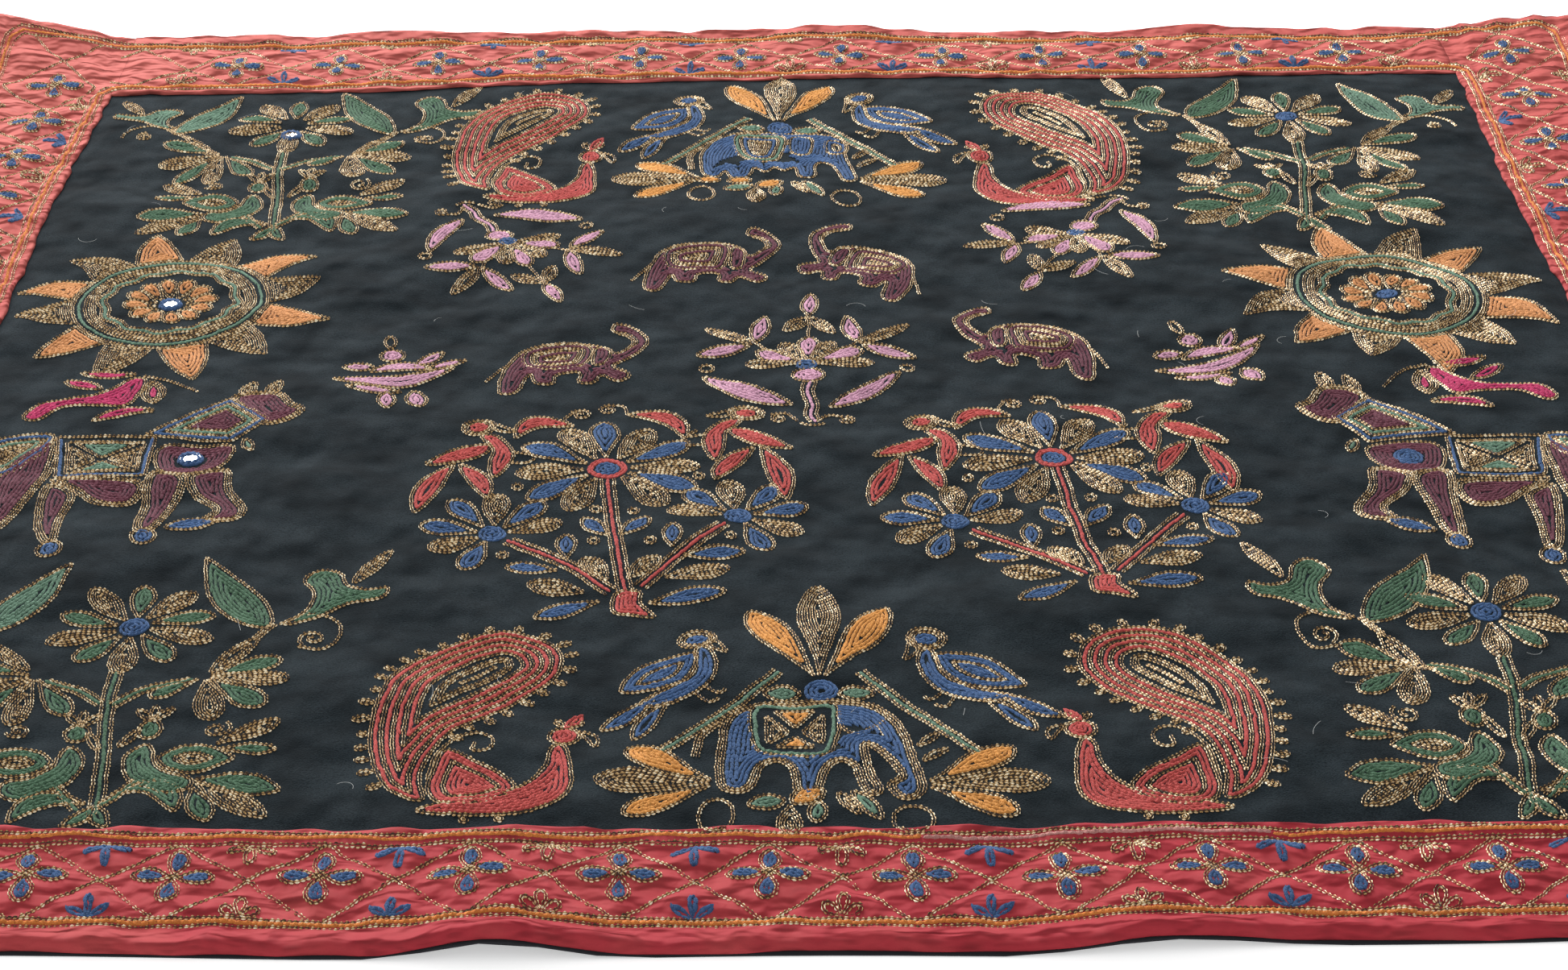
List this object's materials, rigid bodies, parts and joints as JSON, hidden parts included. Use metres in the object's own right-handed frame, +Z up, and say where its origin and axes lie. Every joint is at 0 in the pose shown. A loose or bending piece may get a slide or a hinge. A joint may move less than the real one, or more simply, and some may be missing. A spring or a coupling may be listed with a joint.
{
  "type": "embroidered wall hanging",
  "caption": "Square cloth hanging with a dark embroidered panel, a wide red lattice border, a thin lining and small round mirrors, lying open with soft ripples.",
  "frame": {"origin": "middle of the hanging on its underside, where it rests", "axes": "+X across the hanging to the viewer's right, +Y from the lower end of the design to its upper end, +Z up through the cloth"},
  "size_m": [1.1032, 1.0415, 0.0264],
  "materials": {
    "lining": "matte plain cotton",
    "ground": "matte felted wool with short lint",
    "border": "soft matte cotton, puckered by its stitching",
    "mirror": "polished"
  },
  "bodies": {
    "root": {"lining": "lining", "ground_panel": "ground", "border_front": "border", "border_back": "border", "border_left": "border", "border_right": "border", "mirror_sun": "mirror", "mirror_plant": "mirror", "mirror_horse": "mirror"}
  },
  "joints": []
}
